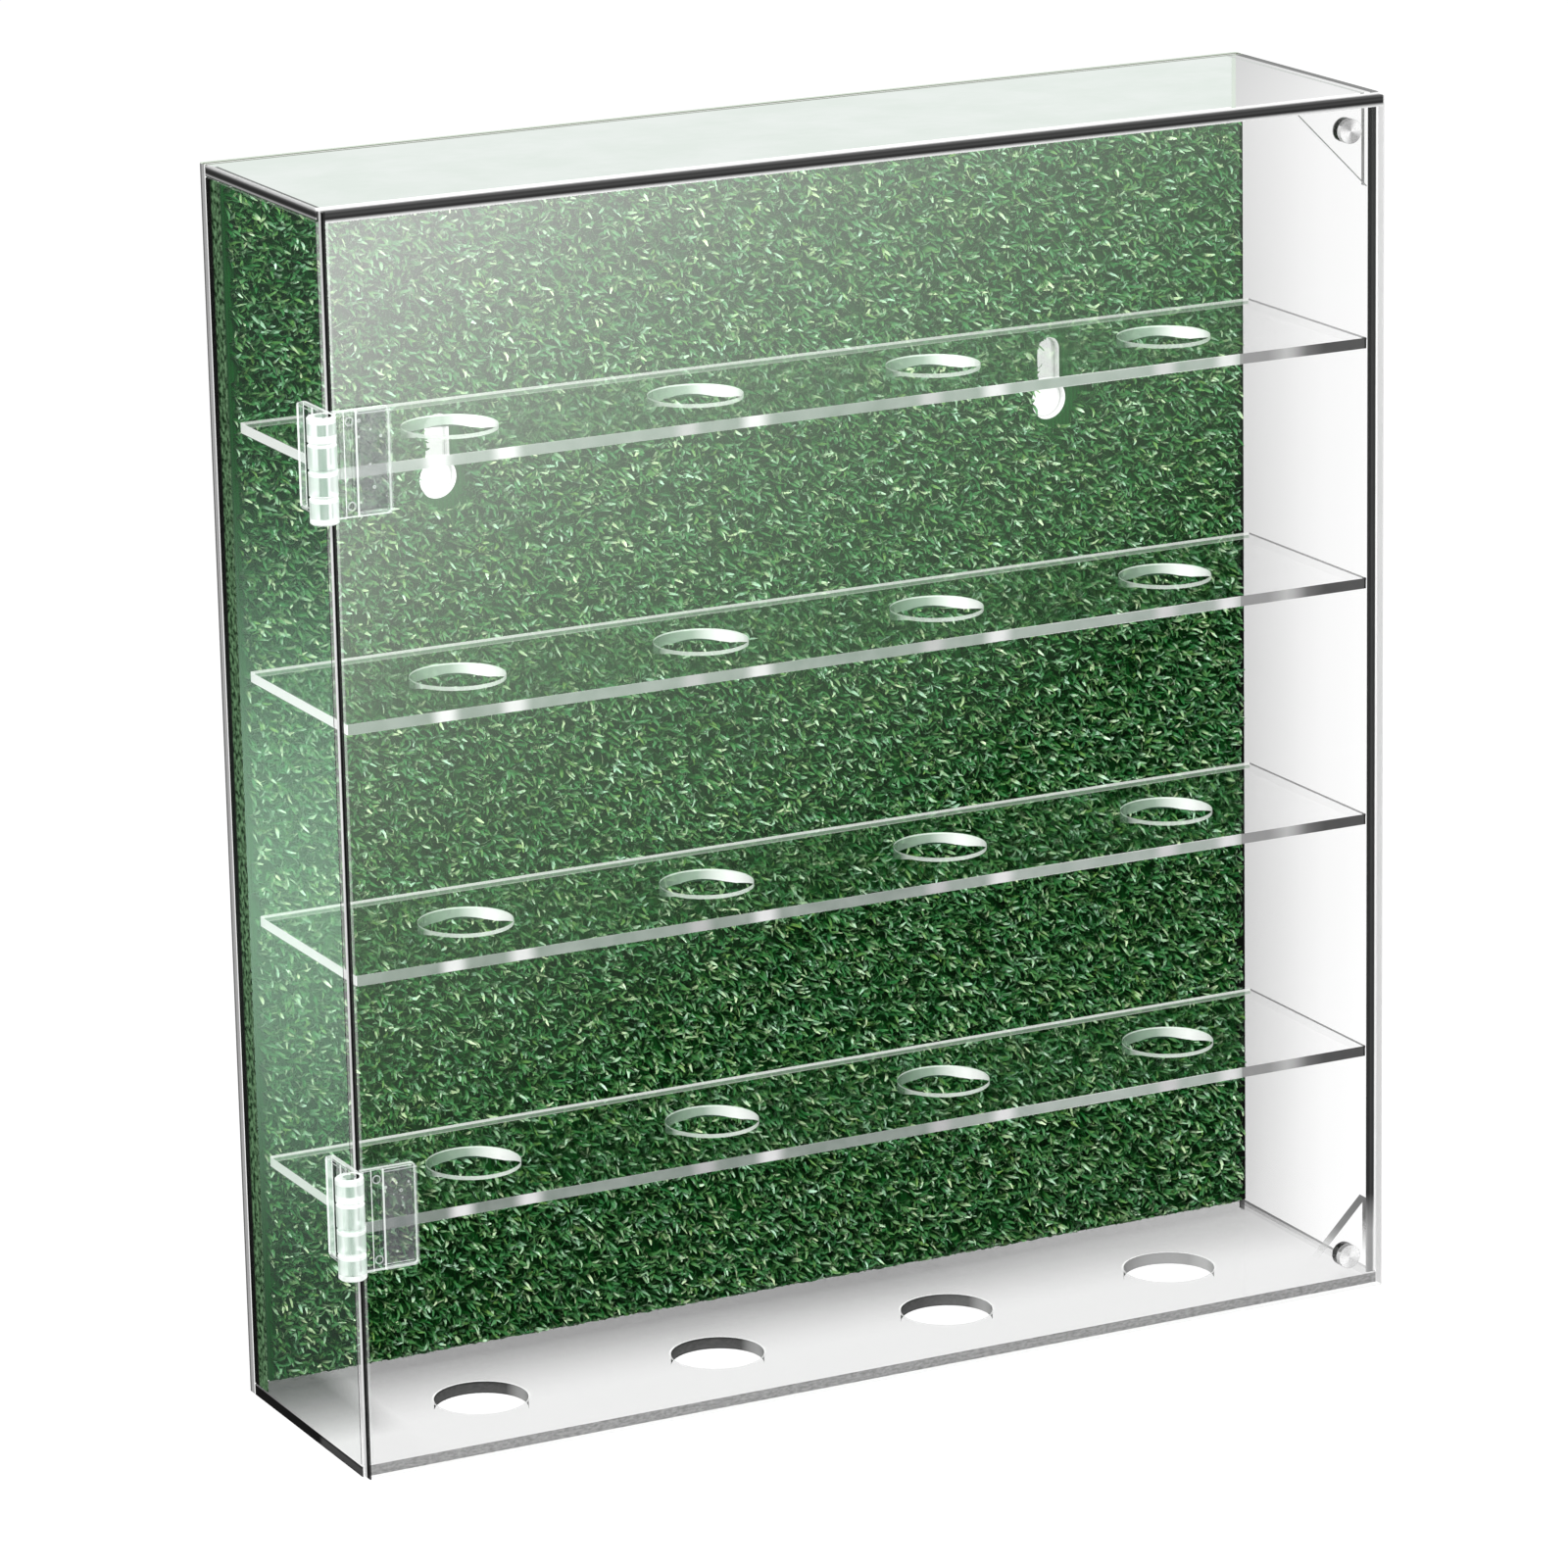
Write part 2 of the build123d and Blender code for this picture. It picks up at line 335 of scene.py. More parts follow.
def top_acrylic():
    a = Acrylic("acrylic_top", 0.03, 4.0)
    # a painted tint on its reflection: the gloss is a blotchy pale grey-green
    blotch = a.ramp(a.noise(55.0, 3.0, 0.6), 0.35, 0.65)
    a.shine = a.mix(blotch, rgb(229, 237, 231), rgb(235, 241, 237))
    # painted edge tones, on all edges and then the left one: dark bands for the edges' dark
    # reflections, under a painted highlight line along the top
    rim = a.rim(a.nz)
    stops = [(302.0, 30), (302.5, 38), (303.0, 60), (303.6, 48), (304.2, 58), (304.5, 236)]
    a.tone(rim, a.shade(a.z, stops))
    stops = [(302.0, 62), (302.3, 74), (302.5, 168), (302.75, 150), (302.95, 62)]
    stops += [(303.4, 46), (303.9, 60), (304.25, 105), (304.55, 196), (305.0, 205)]
    a.tone(a.mul(rim, a.under(a.nx)), a.shade(a.z, stops))
    # painted lines over the left wall and the door: pale and dark lines for the edges below, and a
    # pale highlight strip at the front
    up = a.over(a.nz)
    a.tone(a.mul(up, a.at(a.x, -140.0, -139.5)), gray(205), 0.9)
    a.tone(a.mul(up, a.at(a.x, -139.5, -138.7), a.at(a.y, -33, 28)), gray(96), 0.85)
    a.tone(a.mul(up, a.at(a.y, -33, -31.9)), gray(243), 0.9)
    # painted reflection: the ceiling's light runs out along a slanting line on the right, as a
    # pale tone edged by a greenish line
    beyond = a.math("MULTIPLY_ADD", a.y, -0.584, a.sub(a.x, 119.0))
    stops = [(0, 205), (8, 212), (26, 228)]
    a.tone(a.mul(up, a.over(beyond, 0.0)), a.shade(beyond, stops), 0.95)
    a.tone(a.mul(up, a.at(beyond, -1.2, 0.0)), rgb(206, 216, 204), 0.75)
    # painted lines on the right and behind: grey and dark tones for the edges' reflections,
    # greenish behind
    a.tone(a.mul(up, a.at(a.x, 134.8, 136.0)), gray(186), 0.6)
    a.tone(a.mul(up, a.over(a.x, 137.5)), gray(128), 0.95)
    a.tone(a.mul(up, a.at(a.y, 31.6, 33)), rgb(120, 128, 112), 0.75)
    return a.build()


def back_acrylic():
    a = Acrylic("acrylic_back")
    # painted edge tones: grey and dark bands on the ends, a ridge dark in front and pale behind, a
    # grey bottom and pale keyhole walls, for the edges' reflections
    rim = a.rim(a.ny)
    side = a.shade(a.y, [(33.0, 150), (33.5, 178), (34.9, 170), (35.1, 110), (36.0, 125)])
    a.tone(a.mul(rim, a.under(a.nx)), side)
    a.tone(a.mul(rim, a.over(a.nx)), side)
    ridge = a.mix(a.ramp(a.y, 34.2, 34.6), rgb(128, 136, 120), rgb(205, 216, 202))
    a.tone(a.mul(rim, a.over(a.nz)), ridge, 0.95)
    a.tone(a.mul(rim, a.under(a.nz), a.inv(a.back)), gray(150), 0.9)
    keyholes = a.mul(rim, a.at(a.z, 210, 245), a.at(a.size(a.x), 70, 95))
    stops = [(33.0, 252), (34.0, 250), (34.4, 205), (34.8, 205), (35.1, 250)]
    a.tone(keyholes, a.shade(a.y, stops), 0.95)
    return a.build()


def left_acrylic():
    # its gloss is tinted green, a painted tint on its reflection
    a = Acrylic("acrylic_left", shine=(0.66, 1.0, 0.76))
    out = a.under(a.nx)
    # a painted grey line just under the top, for an edge reflection
    a.tone(a.mul(out, a.at(a.z, 301.7, 302)), rgb(120, 132, 121), 0.6)
    # painted refraction: the flank of the turf, spread by the sheet, painted on its outer face
    # with dark lines behind it
    fine = a.ramp(a.noise(700.0, 3.0, 0.6), 0.40, 0.64)
    flank = a.mix(fine, rgb(10, 40, 14), rgb(112, 152, 110))
    flank = a.mix(a.ramp(a.y, 29.2, 30.2), flank, gray(10))
    flank = a.mix(a.ramp(a.y, 32.2, 33), flank, gray(60))
    a.tone(a.mul(out, a.at(a.y, 24.2, 33)), flank, 0.97)
    # painted edge tones: a dark line along the front, a faint pale front end and a dark rear end,
    # for the edges' reflections
    a.tone(a.mul(out, a.at(a.y, -33, -32.1)), gray(78), 0.9)
    a.tone(a.under(a.ny), gray(235), 0.22)
    a.tone(a.over(a.ny), gray(90), 0.9)
    return a.build()


def right_acrylic():
    a = Acrylic("acrylic_right", high=0.1)
    # painted shade: what is seen through the wall is tinted darker towards the turf and paler up
    # high, for the shade in the room behind
    stops = [(25, 213), (18, 221), (10, 229), (0, 240), (-12, 249), (-30, 254)]
    room = a.shade(a.y, stops)
    room = a.mix(a.ramp(a.z, 150, 290, 0.0, 0.33), room, gray(254))
    a.tint = a.mix(a.under(a.nx), WHITE, room)
    # painted edge tones: dark lines on the front end with a pale line at its right, a paler foot,
    # and a black rear end, for the edges' reflections
    stops = [(137.0, 60), (137.3, 44), (137.8, 46), (138.2, 62), (138.6, 56)]
    line = a.shade(a.x, stops + [(139.15, 50), (139.35, 235)])
    foot = a.shade(a.x, [(137.0, 175), (137.6, 150), (138.8, 146), (139.35, 238)])
    a.tone(a.under(a.ny), a.mix(a.ramp(a.z, 14, 24), foot, line))
    a.tone(a.over(a.ny), gray(20))
    return a.build()


def bottom_acrylic():
    a = Acrylic("acrylic_bottom", high=0.08)
    rim = a.rim(a.nz)
    # painted shade: what is seen through it is tinted darker towards the turf, most in the left
    # corner, and lifted paler at the front right
    stops = [(25, 164), (18, 182), (12, 198), (6, 212), (0, 223), (-6, 231), (-12, 235)]
    under = a.shade(a.y, stops)
    stops = [(25, 108), (18, 126), (12, 146), (6, 166), (0, 184), (-6, 204), (-16, 233)]
    under = a.mix(a.ramp(a.x, -119, -126), under, a.shade(a.y, stops))
    lift = a.mul(a.ramp(a.x, 30, 140), a.ramp(a.y, -5, 20), 0.4)
    under = a.mix(lift, under, gray(225))
    a.tint = a.mix(a.over(a.nz), WHITE, under)
    # front edge, painted with grey tones and darker lines for the edge's reflections, with streaks
    # drawn out along it and a pale gap at its left end
    drawn = a.times(a.object_coords(), (700.0, 1500.0, 1700.0))
    streak = a.ramp(a.noise(1.0, 3.0, 0.6, coords=drawn), 0.34, 0.66)
    stops = [(0.0, 108), (0.4, 138), (1.2, 152), (2.5, 150), (2.8, 116), (3.0, 150)]
    front = a.shade(a.z, stops)
    streaks = a.mix(streak, gray(122), gray(170))
    front = a.mix(a.mul(a.at(a.z, 0.2, 2.9), 0.75), front, streaks)
    front = a.mix(a.at(a.x, -141, -138.6), front, gray(235))
    a.tone(a.mul(rim, a.under(a.ny)), front)
    # left and right ends and rear edge, painted for the edges' reflections: a dark left end, paler
    # at the front, a faint right end with a pale ridge given as painted glow, and a pale rear edge
    dark = a.shade(a.z, [(0.0, 20), (0.5, 30), (2.4, 28), (2.8, 16)])
    light = a.shade(a.z, [(0.0, 40), (0.5, 72), (2.0, 78), (2.5, 45), (3.0, 40)])
    a.tone(a.left_end(rim), a.mix(a.ramp(a.y, -7.0, -9.0), dark, light))
    right = a.right_end(rim)
    a.tone(right, gray(200), 0.15)
    ridge = a.shade(a.y, [(25, 150), (-10, 175), (-22, 235)])
    a.tone(a.mul(right, a.over(a.z, 2.2)), ridge, 0.9, 1.0)
    a.tone(a.mul(rim, a.over(a.ny), a.over(a.y, 30), a.inv(a.back)), gray(215), 0.4)
    # ball seats: walls painted dark as shade, paler to the right with painted light, and a painted
    # highlight ring on the sheet
    slide, r, seen = a.seats()
    fine = a.ramp(a.noise(1.0, coords=drawn), 0.35, 0.65)
    wall = a.shade(a.z, [(0.0, 34), (0.5, 60), (2.0, 48), (2.6, 28)])
    wall = a.mix(a.mul(fine, a.at(a.z, 0.4, 2.5), 0.15), wall, gray(110))
    wall = a.mix(a.ramp(slide, 9.6, 11.6, 0.0, 0.6), wall, gray(200))
    wall = a.mix(a.ramp(a.x, 30, 96, 0.0, 0.4), wall, gray(225))
    a.tone(a.mul(a.seat_walls(rim), a.over(seen, -0.4)), wall, 0.96)
    ring = a.mul(a.over(a.nz), a.at(r, 11.3, 12.0), a.ramp(seen, -11, 2, 0.15, 1.0))
    a.tone(ring, gray(252), 0.85)
    return a.build()


def door_acrylic():
    a = Acrylic("acrylic_door", 0.04)
    # the glare ends where the pale right side of the room begins
    dull = a.ramp(a.x, 98.8, 100.2)
    a.glare = a.mul(a.under(a.ny), a.inv(a.back), a.inv(dull), 0.10)
    a.shine = a.mix(dull, WHITE, (0.1, 0.1, 0.1))
    # painted edge tones: a mottled pale left end with a dark front band, a pale right end, a top
    # running from dark to pale and a faint pale bottom, for the edges' reflections
    rim = a.rim(a.ny)
    core = a.mix(a.ramp(a.noise(14.0, 1.0), 0.35, 0.65), gray(190), gray(246))
    left = a.mix(a.ramp(a.y, -34.3, -34.7), core, gray(24))
    a.tone(a.mul(rim, a.under(a.nx)), left)
    a.tone(a.mul(rim, a.over(a.nx)), gray(220), 0.9)
    stops = [(-36.0, 62), (-35.2, 105), (-34.4, 160), (-33.6, 222), (-33.0, 240)]
    a.tone(a.mul(rim, a.over(a.nz)), a.shade(a.y, stops), 0.95)
    a.tone(a.mul(rim, a.under(a.nz)), gray(225), 0.3)
    # painted lines along the front face's top, left and right: a pale then dark band at the top
    # and a dark line on the left for the edges seen through the face, a pale line on the right
    front = a.under(a.ny)
    stops = [(302.0, 205), (302.2, 200), (302.65, 110), (302.9, 38), (303.3, 44)]
    stops += [(303.6, 62), (304.1, 50), (304.6, 80)]
    a.tone(a.mul(front, a.over(a.z, 301.95)), a.shade(a.z, stops))
    a.tone(a.mul(front, a.under(a.x, -139.15)), gray(34), 0.95)
    a.tone(a.mul(front, a.at(a.x, 139.25, 139.7)), gray(216), 0.9)
    return a.build()


def shelf_seats(a, rim, h):
    """Seat walls in painted light and shade: green-grey to pale, brightest to the right, with a
    painted highlight at the top, and a bright front band.
    """
    slide, _, _ = a.seats()
    wall = a.mix(a.ramp(slide, -9, 3), rgb(112, 140, 118), rgb(150, 170, 154))
    wall = a.mix(a.ramp(slide, 3, 9.5), wall, rgb(246, 250, 246))
    wall = a.mix(a.mul(a.over(h, 2.6), 0.75), wall, rgb(232, 246, 234))
    # a painted dark lens-shaped line along the wall's foot, for the turf's dark reflection
    off = a.sub(slide, 3.5)
    foot = a.math("MULTIPLY_ADD", a.mul(off, off), -0.020, 0.5)
    wall = a.mix(a.under(h, foot), wall, rgb(44, 66, 52))
    wall = a.mix(a.ramp(a.y, -4.5, -7.5), wall, rgb(234, 244, 235))
    shown = a.over(h, a.ramp(a.y, 1.5, -8.5, -0.1, 2.0))
    cover = a.ramp(slide, -10, 6, 0.62, 0.95)
    a.tone(a.mul(a.seat_walls(rim), shown), wall, cover)


def shelf_front(a, rim, h, tones):
    """The front edge in painted reflections: three tones, painted glints, painted highlight lines
    and a dark right end.
    """
    left, middle, right = (rgb(v - 5, v + 5, v - 2) for v in tones)
    fill = a.mix(a.ramp(a.x, -105, -85), left, middle)
    fill = a.mix(a.ramp(a.x, 5, 45), fill, right)
    grain = a.ramp(a.noise(160.0), 0.3, 0.7, 0.0, 0.12)
    fill = a.mix(grain, fill, gray(225))
    # painted glints: pale patches beside each seat
    for cx in SEAT_XS:
        for off, value, wide in ((1.6, 210, 5.0), (-16, GLINTS[cx], 4.6)):
            d = a.size(a.sub(a.x, cx + off))
            fill = a.mix(a.ramp(d, wide, 0.6, smooth=True), fill, gray(value))
    # painted highlight lines along the top and foot, stronger to the right
    lines = a.either(a.over(h, 2.65), a.under(h, 0.3))
    lit = a.mul(lines, a.ramp(a.x, 10, 60, 0.1, 0.5))
    fill = a.mix(lit, fill, gray(246))
    # painted reflection: past the turf it shows the dark room instead, with dark lines and a dark
    # end
    stops = [(101, 141), (109, 143), (114, 178), (116, 168), (120, 108), (125, 80), (137, 82)]
    fill = a.mix(a.over(a.x, 101), fill, a.shade(a.x, stops))
    fill = a.mix(a.mul(lines, a.over(a.x, 122), 0.7), fill, gray(58))
    fill = a.mix(a.over(a.x, 136.2), fill, gray(45))
    a.tone(a.mul(rim, a.under(a.ny), a.under(a.y, -30)), fill)


def shelf_acrylic(number, front_tones, left_tone):
    a = Acrylic(f"acrylic_shelf_{number}", high=1.1, rough=0.06)
    h = a.sub(a.z, box_mm(f"shelf_{number}")[0][2])
    rim = a.rim(a.nz)
    # its gloss is painted greenish over the turf, a painted tint on its reflection, and neutral
    # beyond it
    past = a.math("MULTIPLY_ADD", a.y, -0.569, a.sub(a.x, 119.4))
    a.shine = a.mix(a.over(past, 0.0), (0.9, 1, 0.92), WHITE)
    shelf_seats(a, rim, h)
    shelf_front(a, rim, h, front_tones)
    # ends, painted for the edges' reflections: a pale left end over a dark foot, and a dark line
    # along the right end's top
    a.tone(a.left_end(rim), a.mix(a.under(h, 0.35), rgb(*left_tone), gray(80)), 0.95)
    right = a.right_end(rim)
    a.tone(right, gray(150), 0.06)
    a.tone(a.mul(right, a.over(h, 2.3)), gray(86), 0.9)
    # rear edge: painted highlight bands given as painted glow, pale above mid-height, green-grey
    # in a band, white at the top
    rear = a.mul(rim, a.over(a.ny), a.over(a.y, 20))
    a.tone(a.mul(rear, a.over(h, 1.15)), rgb(214, 224, 212), 0.6, 1.0)
    a.tone(a.mul(rear, a.at(h, 1.35, 2.1)), rgb(142, 164, 144), 0.8, 1.0)
    a.tone(a.mul(rear, a.over(h, 2.1)), rgb(240, 245, 239), 0.95, 1.0)
    return a.build()


def gusset_acrylic(which):
    a = Acrylic(f"acrylic_gusset_{which}", high=0.1)
    # painted edge tones: grey on the slope and a grey line on the leg, for the edges' reflections
    slope = a.mul(a.under(a.nx, -0.4), a.over(a.size(a.nz), 0.4))
    if which == "upper":
        a.tone(a.mul(slope, a.under(a.y, -31.6)), gray(192))
        a.tone(a.mul(a.over(a.nx, 0.7), a.at(a.y, -31.1, -29.6)), gray(128), 0.9)
    else:
        stops = [(22, 118), (16, 136), (11, 200), (8, 235)]
        a.tone(slope, a.shade(a.z, stops), a.ramp(a.z, 9, 14))
        leg = a.mul(a.over(a.nx, 0.7), a.at(a.y, -32.8, -31.0))
        a.tone(leg, gray(128), a.ramp(a.z, 8, 18))
    return a.build()


# ---------------------------------------------------------------- hinges and catches
def hinge_plastic(which):
    """Moulded plastic: clear leaves and milky barrels, with painted highlights on rims, steps,
    rings and bars, and a painted dark band.
    """
    s = Acrylic(f"hinge_plastic_{which}", 0.02)
    low, high = box_mm(f"hinge_{which}_door_leaf")
    white = rgb(248, 254, 250)
    # places from the pin's axis and from the hinge's middle
    u, v = s.sub(s.x, PIN[0]), s.sub(s.y, PIN[1])
    h = s.sub(s.z, (low[2] + high[2]) / 2)
    tall = s.size(h)
    r = s.reach(u, v)
    along = s.math("MAXIMUM", u, v)
    near = s.math("MINIMUM", u, v)
    leaf = s.over(r, 3.6)
    on_case = s.mul(leaf, s.over(v, u))
    outer = s.mul(leaf, s.either(s.under(s.nx), s.under(s.ny)))
    s.tone(outer, rgb(176, 184, 190), 0.06)
    # a painted dark band on the case leaf, for the dark view seen along the wall through it
    band = s.mul(s.mul(on_case, s.under(s.nx)), s.at(v, 11.4, 13.6))
    s.tone(band, rgb(14, 40, 26), 0.8)
    # painted highlights on the moulded rings, steps and rims
    ring = s.reach(s.sub(tall, 9.9), s.sub(along, 7.75))
    rings = s.mul(s.at(ring, 0.78, 1.08), 0.7)
    lines = s.either(s.at(along, 6.05, 6.4), s.at(along, 9.1, 9.45))
    lines = s.either(lines, s.mul(s.at(tall, 11.5, 11.8), s.over(along, 9.4), 0.6))
    lines = s.either(lines, s.add(s.mul(s.over(tall, 12.3), 0.7), rings))
    lines = s.either(lines, s.mul(s.at(along, 3.5, 4.3), 0.8))
    s.tone(s.mul(outer, lines), white, 0.66)
    # painted highlights on the leaves' short ends, then their far ends: white on the door leaf,
    # and on the case leaf a pale mottled tone with white rims
    ends = s.mul(leaf, s.over(s.size(s.nz)))
    s.tone(ends, white, s.ramp(near, 1.9, 2.7, 0.2, 0.6))
    far = s.mul(s.add(s.over(s.nx), s.over(s.ny)), s.over(along, 17.7))
    on_door = s.mul(far, s.inv(on_case), s.over(near, 1.9))
    s.tone(on_door, white, s.ramp(near, 2.6, 3.0, 0.2, 0.7))
    # a pale mottled tone on the case leaf's far end, its cover set per hinge
    fine = s.ramp(s.noise(420.0), 0.42, 0.6)
    end_mottle = s.mix(fine, rgb(160, 190, 170), rgb(214, 230, 218))
    s.tone(s.mul(far, on_case), end_mottle, HINGES[which])
    rims = s.add(s.under(near, 2.1), s.over(near, 3.2))
    s.tone(s.mul(far, on_case, rims), white, 0.85)
    # the bore's wall painted grey-green as a view of the pin through the barrel, the milky barrel,
    # and painted highlight bars on it
    s.tone(s.under(r, 1.5), rgb(132, 156, 141), 0.75)
    barrel = s.mul(s.inv(leaf), s.over(r, 2.5))
    drawn = s.times(s.object_coords(), (600.0, 600.0, 90.0))
    cloud = s.ramp(s.noise(1.0, coords=drawn), 0.3, 0.6)
    milk = s.mix(cloud, rgb(196, 216, 203), rgb(236, 246, 240))
    facing = s.node("LayerWeight", {"Blend": 0.5}, out="Facing")
    s.tone(barrel, milk, s.ramp(facing, 0.048, 0.085, 0.28, 0.68))
    bars = s.either(s.at(h, 5.6, 8.4), s.at(h, -1.2, -0.3))
    bars = s.either(bars, s.add(s.at(h, -7.3, -5.6), s.over(tall, 11.0)))
    s.tone(s.mul(barrel, bars), white, 0.8)
    return s.build()


def adhesive():
    """Clear pad with small trapped bubbles and smears."""
    s = Acrylic("adhesive", 0.0, 0.1)
    outer = s.either(s.under(s.nx), s.under(s.ny))
    warp = s.noise(260.0)
    smear = s.ramp(warp, 0.35, 0.7)
    s.tone(outer, s.mix(smear, rgb(108, 106, 112), rgb(150, 147, 152)), 0.36)
    # both pads in one flat pattern, whichever way they face
    flat = {0: s.mul(s.add(s.x, s.y), 0.52), 2: s.mul(s.z, 0.52)}
    cells = {"Vector": s.node("CombineXYZ", flat), "Scale": 1.0}
    near = s.node("TexVoronoi", cells)
    near = s.add(near, s.math("MULTIPLY_ADD", warp, 0.16, -0.08))
    pick = s.node("SeparateColor", {0: s.node("TexVoronoi", cells, out="Color")})
    hollow = s.mul(s.at(near, 0.08, 0.24), s.over(pick, 0.72))
    full = s.mul(s.under(near, 0.17), s.under(pick, 0.45))
    s.tone(s.mul(outer, s.either(hollow, full)), rgb(228, 236, 230), 0.5)
    return s.build()


def drawn_roughness(s):
    return s.ramp(s.noise(900.0, 3.0), 0.3, 0.7, 0.2, 0.325)


def pin_steel(which):
    s = Shader(f"pin_steel_{which}")
    values = {"Base Color": gray(170), "Metallic": 1.0, "Roughness": drawn_roughness(s)}
    return s.finish(s.node("BsdfPrincipled", values))


def magnet_plate(which):
    """A turned face: fine rings, and painted highlight tones that fan out round its centre; its
    side is painted dark as shade.
    """
    height, tones = CATCHES[which]
    s = Shader(f"magnet_plate_{which}")
    x, _, z = s.place()
    dx, dz = s.sub(x, CATCH_X), s.sub(z, height)
    # painted highlight: the plating's tone fans from dark to pale round the centre
    angle = s.math("ARCTAN2", dz, dx)
    fan = s.math("SINE", s.math("MULTIPLY_ADD", angle, 2.0, 0.6))
    face = s.mix(s.ramp(fan, -0.8, 0.8), *(gray(v) for v in tones))
    # the side is painted dark, as shade
    side = s.math("LESS_THAN", s.size(s.normal()[1]), 0.5)
    rings = s.math("SINE", s.mul(s.reach(dx, dz), 40.0))
    values = {
        "Base Color": s.mix(side, face, gray(58)),
        "Metallic": 0.6,
        "Roughness": drawn_roughness(s),
        "Normal": s.node("Bump", {"Strength": 0.15, "Distance": 0.00005, "Height": rings}),
    }
    return s.finish(s.node("BsdfPrincipled", values))


# ---------------------------------------------------------------- turf
def turf_material():
    """Linear greens by each blade's own tone and hue, and along its length, with painted shade
    darkening the roots.
    """
    s = Shader("turf_blades")
    tone, hue, along = s.split(s.node("Attribute", out="Vector", attribute_name="blade"))
    root = (0.0005, 0.075, 0.004)
    dark = (0.010, 0.118, 0.022)
    mid = (0.062, 0.196, 0.062)
    lime = (0.12, 0.27, 0.06)
    pale = (0.47, 0.67, 0.44)
    patch = s.ramp(s.noise(90.0, 3.0), 0.35, 0.65)
    base = s.mix(s.ramp(tone, 0.0, 0.55), dark, mid)
    base = s.mix(s.mul(s.ramp(hue, 0.80, 0.92), patch), base, lime)
    base = s.mix(s.ramp(tone, 0.60, 0.95), base, pale)
    # painted shade: blades darken to a near black green towards their roots, where shade falls
    # between them
    base = s.mix(s.ramp(along, 0.2, 0.65), root, base)
    warm = s.ramp(s.noise(270.0, 1.0), 0.36, 0.64)
    base = s.times(base, s.mix(warm, (0.88, 1.0, 1.10), (1.12, 1.0, 0.88)))
    values = {"Base Color": base, "Roughness": 0.42, "Specular IOR Level": 0.5}
    return s.finish(s.node("BsdfPrincipled", values))


def backing_material():
    """A woven face, and rows of stitches under uneven latex behind."""
    s = Shader("turf_backing")
    weave = s.node("TexWave", {"Vector": s.object_coords(), "Scale": 300.0})
    face = s.mix(weave, (0.0005, 0.040, 0.003), (0.001, 0.070, 0.007))
    stitch = {"Vector": s.object_coords(), "Scale": 380.0, "Randomness": 0.35}
    gap = s.ramp(s.node("TexVoronoi", stitch), 0.15, 0.55)
    latex = s.ramp(s.noise(30.0, 4.0, 0.65), 0.3, 0.7)
    low = s.mix(latex, (0.003, 0.030, 0.006), (0.006, 0.048, 0.010))
    high = s.mix(latex, (0.008, 0.075, 0.014), (0.022, 0.115, 0.030))
    behind = s.over(s.normal()[1])
    base = s.mix(behind, face, s.mix(gap, high, low))
    values = {"Base Color": base, "Roughness": 0.8, "Specular IOR Level": 0.1}
    return s.finish(s.node("BsdfPrincipled", values))


def keyhole_clear(x, z):
    """True where a point is clear of both keyholes."""
    (head_z, _), (slot_z, slot_r) = KEYHOLE_ENDS
    ok = np.ones(len(x), bool)
    for cx in KEYHOLE_XS:
        for end_z, radius in KEYHOLE_ENDS:
            ok &= np.hypot(x - cx, z - end_z) > radius + KEYHOLE_MARGIN
        slot = (np.abs(x - cx) < slot_r + KEYHOLE_MARGIN) & (z > head_z) & (z < slot_z)
        ok &= ~slot
    return ok


def blade_roots(rng, low, high):
    """x and z of every blade's root: tufts on a loose grid, blades close together."""
    gx = np.arange(low[0] + 1.2, high[0] - 1.0, TUFT_PITCH)
    gz = np.arange(low[2] + 1.2, high[2] - 1.0, TUFT_PITCH)
    x, z = (g.ravel() for g in np.meshgrid(gx, gz))
    x = x + rng.normal(0, 0.35 * TUFT_PITCH, x.size)
    z = z + rng.normal(0, 0.35 * TUFT_PITCH, z.size)
    x, z = np.repeat(x, BLADES_PER_TUFT), np.repeat(z, BLADES_PER_TUFT)
    x = (x + rng.normal(0, 0.5, x.size)).clip(low[0] + 0.5, high[0] - 0.5)
    z = (z + rng.normal(0, 0.5, z.size)).clip(low[2] + 0.5, high[2] - 0.5)
    return x, z


